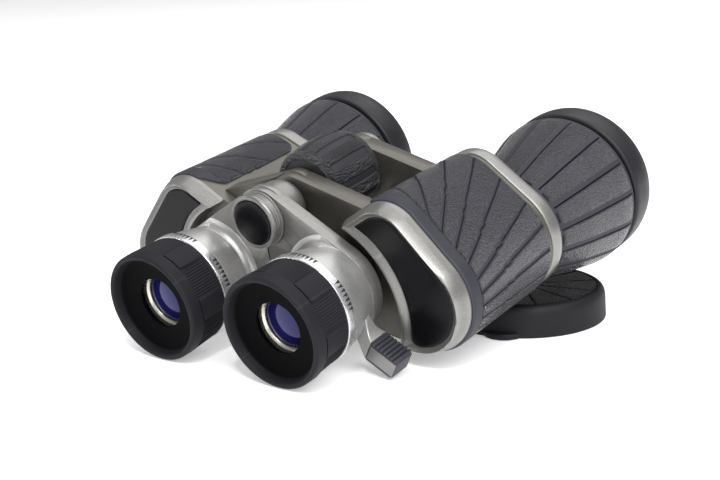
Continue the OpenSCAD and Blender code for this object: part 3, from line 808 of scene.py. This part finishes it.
hub = [(0.5, 31.3), (8.4, 31.3), (8.6, 30.3), (9.5, 30.25), (10.2, 31.0), (10.2, 32.1), (9.95, 32.3),
       (10.2, 32.5), (10.2, 33.1), (9.95, 33.3), (10.2, 33.5), (10.2, 34.0), (9.9, 34.3), (10.4, 34.5),
       (10.4, 35.3), (0.5, 35.3)]
revolve("hub_turned_ring", "hub_ring", HINGE, soften(hub, [0, 0.1, 0.2, 0.4, 0.5] + [0.08] * 11, 4))
badge = [(0, 30.05), (3, 30.07), (6, 30.15), (7.6, 30.27), (8.2, 30.4), (8.45, 30.7), (8.45, 31.35),
         (0, 31.35)]
disc("hub_black_badge", "hub_badge", HINGE, badge, 1)
boss = [(4, 41.02), (9.7, 41.02), (10, 41.4), (10, 45.6), (9.7, 47.6), (8.9, 49.5), (7.5, 50.8),
        (5.6, 51.5), (4, 51.6)]
revolve("bridge_dome", "bridge_boss", HINGE, soften(boss, 0.6, 4))

PAD_PITCH = 30
PAD_FIRST = 6.5
PAD_HALF = 6.3
PAD_Y = (63.6, 84.6)
TYRE_ARC = 0.275        # length round the tyre, per degree


def wheel_relief(angle, r, y):
    """Smooth sunken pads in the wheel's grained rubber."""
    if r < 13.9:
        return 0, 0, 1
    off = abs(wrapped(angle - PAD_FIRST, PAD_PITCH)) - PAD_HALF
    inside = min(-off * TYRE_ARC, y - PAD_Y[0], PAD_Y[1] - y)
    pad = smooth(inside, -0.15, 0.3)
    return -0.6 * pad, 0, 1 - smooth(inside, -0.35, -0.1)


tyre = soften([(12, 61.5), (13.6, 61.5), (14.5, 62.4), (15.3, 65.5), (15.75, 70), (15.9, 74.5),
               (15.75, 79.5), (15.25, 84), (14.3, 87.1), (13.4, 88), (12, 88)],
              (0.1, 0.6, 0.6, 3, 3, 3, 3, 3, 0.6, 0.6, 0.1), 3)
revolve("wheel_tyre", "wheel_rubber", HINGE, split_long(tyre, 0.45), wheel_relief,
        480)

# ---- objective ends ----

STRIP_PITCH = 24
STRIP_FIRST = 5
SLEEVE_Y = (108.4, 145.0)


def sleeve_relief(angle, r, y):
    """Grained panels on the sleeve, with smooth strips between them and a groove beside each strip, darkened with
    painted shade.
    """
    if r < 20.6 or (y > 107 and r < 20.3 + (y - 106.5) * 0.25):     # the inside of the sleeve
        return 0, 0, 0
    off = (angle - STRIP_FIRST) % STRIP_PITCH
    arc = math.radians(off) * r
    whole = math.radians(STRIP_PITCH) * r
    inside = min(arc - 1.9, whole - arc - 0.25, y - SLEEVE_Y[0], SLEEVE_Y[1] - y)
    grained = smooth(inside, 0, 0.5)
    line = trench(min(arc, whole - arc), 0.4) * smooth(y, SLEEVE_Y[0] - 0.6, SLEEVE_Y[0])
    line *= 1 - smooth(y, SLEEVE_Y[1], SLEEVE_Y[1] + 0.6)
    dash = trench(y - 107.9, 0.4) if whole * 0.35 < arc < whole - 2.0 else 0
    # The grooves' value falls below 0: painted shade in them.
    return 0.22 * grained - 0.5 * max(line, dash) - 0.05, 0, grained - max(line, dash)


sleeve = [(20.3, 106.5), (20.75, 106.5), (20.95, 106.8), (22.3, 111), (24.3, 117.5), (25.8, 122.5),
          (27.3, 129), (28.75, 135), (29.75, 139.5), (30.15, 142.5), (30.25, 145), (30.05, 146.3),
          (29.3, 146.9), (29.25, 145), (28.9, 141.9), (27.6, 135), (24.65, 122.2), (20.3, 107.4)]
rim = soften([(26.65, 148.65), (29.4, 148.65), (30.3, 149.2), (30.5, 150.6), (30.5, 155.4), (30.05, 158.5),
              (29.2, 161.2), (28.2, 162.3), (27.1, 162.3), (26.65, 161.4)],
             (0.1, 0.3, 0.5, 0.8, 2, 1.5, 0.9, 0.5, 0.3, 0.3), 4)
glass = [(26 * k / 20, 145 + 2.6 * (k / 20) ** 2) for k in range(21)]
glass += [(26 * k / 20, 154 - 2.6 * (k / 20) ** 2) for k in range(20, -1, -1)]
for name, side in SIDES.items():
    disc(name + "_objective_lens", name + "_objective", OBJ, glass, side)
    revolve(name + "_sleeve_skin", name + "_sleeve", OBJ, split_long(sleeve, 0.6), sleeve_relief,
            720, side, crease=45)
    revolve(name + "_rim_ring", name + "_rim", OBJ, rim, None, 240, side)

# ---- lever ----

LEVER_ANGLE = math.radians(-30)


def on_lever(out, y, up):
    """A point in the lever's own directions, from the right eyepiece's axis."""
    return (EYE[0] + out * math.cos(LEVER_ANGLE) - up * math.sin(LEVER_ANGLE), y,
            EYE[1] + out * math.sin(LEVER_ANGLE) + up * math.cos(LEVER_ANGLE))


def rounded_section(low, high, y0, y1, radius, count=6):
    """Points round a rounded rectangle in (station, up)."""
    radius = min(radius, 0.48 * (high - low), 0.48 * (y1 - y0))
    points = []
    for k, (cy, cz) in enumerate(((y1 - radius, high - radius), (y0 + radius, high - radius),
                                  (y0 + radius, low + radius), (y1 - radius, low + radius))):
        for j in range(count):
            a = math.pi / 2 * (k + j / (count - 1))
            points.append((cy + radius * math.cos(a), cz + radius * math.sin(a)))
    return points


def tube(name, node, sections, place_point, material=None, **options):
    """A closed skin through sections, each a list of points that place_point turns into places."""
    points = [place_point(*p) for section in sections for p in section]
    count = len(sections[0])
    faces = grid_faces(len(sections), count, False, True)
    faces += [tuple(reversed(range(count))), tuple(range(len(points) - count, len(points)))]
    return add_piece(name, points, faces, node, material, **options)


fin = []
for k in range(25):
    t = k / 24
    out = 15.9 + 8.2 * t
    high = 7.2 * (1 - t) ** 1.9
    low = -8 + 2.2 * (1 - t) ** 1.5
    half = 0.9 + 3.7 * t ** 1.3
    fin.append([(out, y, up) for y, up in rounded_section(low, high, 30.8 - half, 30.5 + half, 0.5)])
# Painted light: the fin is body paint, drawn in the lighter silver paint to look lit.
tube("lever_fin", "lever_arm", fin, on_lever, silver_and_lit_body_paint, stands_for=("lever_arm",))

GRIP_OUT = (24.15, 36.2)
GRIP_Y = (26, 35.2)
RIDGES = 7
top_edge = []
ridge_span = (GRIP_OUT[1] - GRIP_OUT[0] - 1.0) / RIDGES
for k in range(RIDGES * 10 + 1):
    out = GRIP_OUT[1] - 0.5 - ridge_span * k / 10
    top_edge.append((out, -0.75 + 0.75 * abs(math.sin(math.pi * k / 10)) ** 0.7))
outline = [(GRIP_OUT[0], -0.5), (GRIP_OUT[0], -7.4), (GRIP_OUT[0] + 0.6, -8), (GRIP_OUT[1] - 0.8, -8),
           (GRIP_OUT[1], -7.2), (GRIP_OUT[1], -0.9)] + top_edge
middle = ((GRIP_OUT[0] + GRIP_OUT[1]) / 2, -4)
grip = []
for y, shrink in ((GRIP_Y[0], 0.93), (26.15, 0.975), (26.5, 1), (31, 1), (34.7, 1), (35.05, 0.975),
                  (GRIP_Y[1], 0.93)):
    grip.append([(middle[0] + (o - middle[0]) * shrink, y, middle[1] + (u - middle[1]) * shrink)
                 for o, u in outline])
tube("lever_rubber", "lever_grip", grip, on_lever, stands_for=("lever_grip",), crease=50)
plate = [[(24.75 + (36.0 - 24.75) * a, y, -6.95 + 5.7 * b) for a, b in
          ((g, g), (1 - g, g), (1 - g, 1 - g), (g, 1 - g))]
         for y, g in ((25.92, 0.025), (26.0, 0.008), (26.8, 0.008))]
tube("lever_plate", "lever_inlay", plate, on_lever, plate_metal, stands_for=("lever_inlay",))

# ---- objective caps ----

CAP_X = 51.6
CAP_H = 11.9
CAP_R = 32.2
TAB = (27.4, 17.7, 8)      # distance, degrees outward from straight back, and radius


def cap(side, name):
    """An objective cap lying face down: smooth side, grained top with sunken spokes and ring darkened with painted
    shade, and a thumb tab.
    """
    at = (side * CAP_X, 1000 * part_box(name + "_cap")[1].y - CAP_R)
    profile = soften([(0.5, 9.6), (30.6, 9.6), (30.6, 0), (CAP_R, 0), (31.85, 8.6), (31.35, 10.5),
                      (30.1, CAP_H - 0.1), (28, CAP_H), (0.5, CAP_H)],
                     (0, 0.6, 0.3, 0.4, 1.5, 1, 0.8, 0.8, 0), 4)
    profile = split_long(profile, 0.8)
    points, grain_and_shade = [], []
    segments = 420
    for i in range(segments):
        angle = 360 * i / segments
        turn = math.radians(angle)
        for r, z in profile:
            top = z > CAP_H - 0.6 and r < 30
            spoke = abs(wrapped(angle - 12, 30)) * math.radians(1) * r
            mark = max(trench(spoke, 0.45) * smooth(r, 6, 7) * (1 - smooth(r, 27.8, 28.6)),
                       trench(r - 28.7, 0.45)) if top else 0
            points.append((at[0] + r * math.cos(turn), at[1] + r * math.sin(turn), z - 0.4 * mark))
            # Sunken marks get values below 0: painted shade in them.
            grain_and_shade.append((1 - 2 * mark) if top and r < 28.5 else -mark)
    faces = grid_faces(segments, len(profile), True, True)
    add_piece(name + "_cap_body", points, faces, name + "_cap", stands_for=(name + "_cap",), grain_and_shade=grain_and_shade,
              crease=45, space=TABLE)
    aim = math.radians(-90 + TAB[1])
    lobe = []
    for k in range(49):
        a = aim + math.radians(-115 + 230 * k / 48)
        lobe.append((side * (TAB[0] * math.cos(aim) + TAB[2] * math.cos(a)),
                     TAB[0] * math.sin(aim) + TAB[2] * math.sin(a)))
    reach = CAP_R - 1
    inner = [(side * reach * math.cos(aim + t), reach * math.sin(aim + t)) for t in (0.22, 0, -0.22)]
    lobe = [p for p in lobe if math.hypot(*p) > reach] + inner
    centre = (side * 30 * math.cos(aim), 30 * math.sin(aim))
    layers = [[(at[0] + centre[0] + (x - centre[0]) * k, at[1] + centre[1] + (y - centre[1]) * k, z)
               for x, y in lobe] for z, k in ((0.05, 0.97), (0.4, 1), (1.6, 1), (2.05, 0.97), (2.2, 0.92))]
    tube(name + "_cap_tab", name + "_cap", layers, lambda x, y, z: (x, y, z), crease=50, space=TABLE)


for name, side in SIDES.items():
    cap(side, name)

# ---- floor, light and camera ----

FLOOR_HALF, FLOOR_Z = 6, -0.0002
floor_mesh = bpy.data.meshes.new("floor")
floor_mesh.from_pydata([(FLOOR_HALF * a, FLOOR_HALF * b, FLOOR_Z)
                        for a, b in ((-1, -1), (1, -1), (1, 1), (-1, 1))], [], [(0, 1, 2, 3)])
floor = bpy.data.objects.new("floor", floor_mesh)
floor_mesh.materials.append(shader("floor_white", (0.93, 0.93, 0.94), 0.7, Emission_Color=(1, 1, 1, 1),
                                   Emission_Strength=0.34)[0])
scene.collection.objects.link(floor)

world = bpy.data.worlds.new("studio")
scene.world = world
world.use_nodes = True
world.node_tree.nodes["Background"].inputs["Color"].default_value = (1.0, 1.0, 1.0, 1)
world.node_tree.nodes["Background"].inputs["Strength"].default_value = 0.36
scene.view_settings.view_transform = "Standard"


def softbox(name, spot, target, size, power):
    """A soft rectangular lamp at a spot, turned towards its target; metres and watts."""
    light = bpy.data.lights.new(name, "AREA")
    light.shape = "RECTANGLE"
    light.size, light.size_y = size
    light.energy = power
    lamp = bpy.data.objects.new(name, light)
    scene.collection.objects.link(lamp)
    lamp.location = spot
    lamp.rotation_euler = (Vector(target) - Vector(spot)).to_track_quat("-Z", "Y").to_euler()


AIM = (0, 0, 0.03)
softbox("overhead", (0.1, 0.5, 1.5), AIM, (1.9, 1.9), 20)
softbox("right", (0.95, -0.5, 0.85), AIM, (0.8, 0.8), 15)
softbox("left", (-1.2, -0.3, 0.6), AIM, (0.5, 0.8), 3)
softbox("spark", (0.5, -0.75, 1.0), AIM, (0.14, 0.14), 7)
softbox("catch", (-0.75, -1.0, 0.1), AIM, (0.1, 0.1), 1.2)

camera = bpy.data.objects.new("camera", bpy.data.cameras.new("camera"))
scene.collection.objects.link(camera)
camera.data.lens = 69.95
camera.data.sensor_width = 36
# The camera's place and directions in the optical frame, solved from the four rims
spot = Vector((327.6, -293.2, 200.9))
forward = Vector((-0.604, 0.699, -0.382)).normalized()
right = Vector((0.7876, 0.5975, -0.1503))
right = (right - forward * right.dot(forward)).normalized()
up = right.cross(forward)
turn = OPTICAL.to_quaternion().to_matrix() @ Matrix((right, up, -forward)).transposed()
camera.matrix_world = Matrix.Translation(OPTICAL @ spot) @ turn.to_4x4()
camera.data.clip_start = 0.01
scene.camera = camera
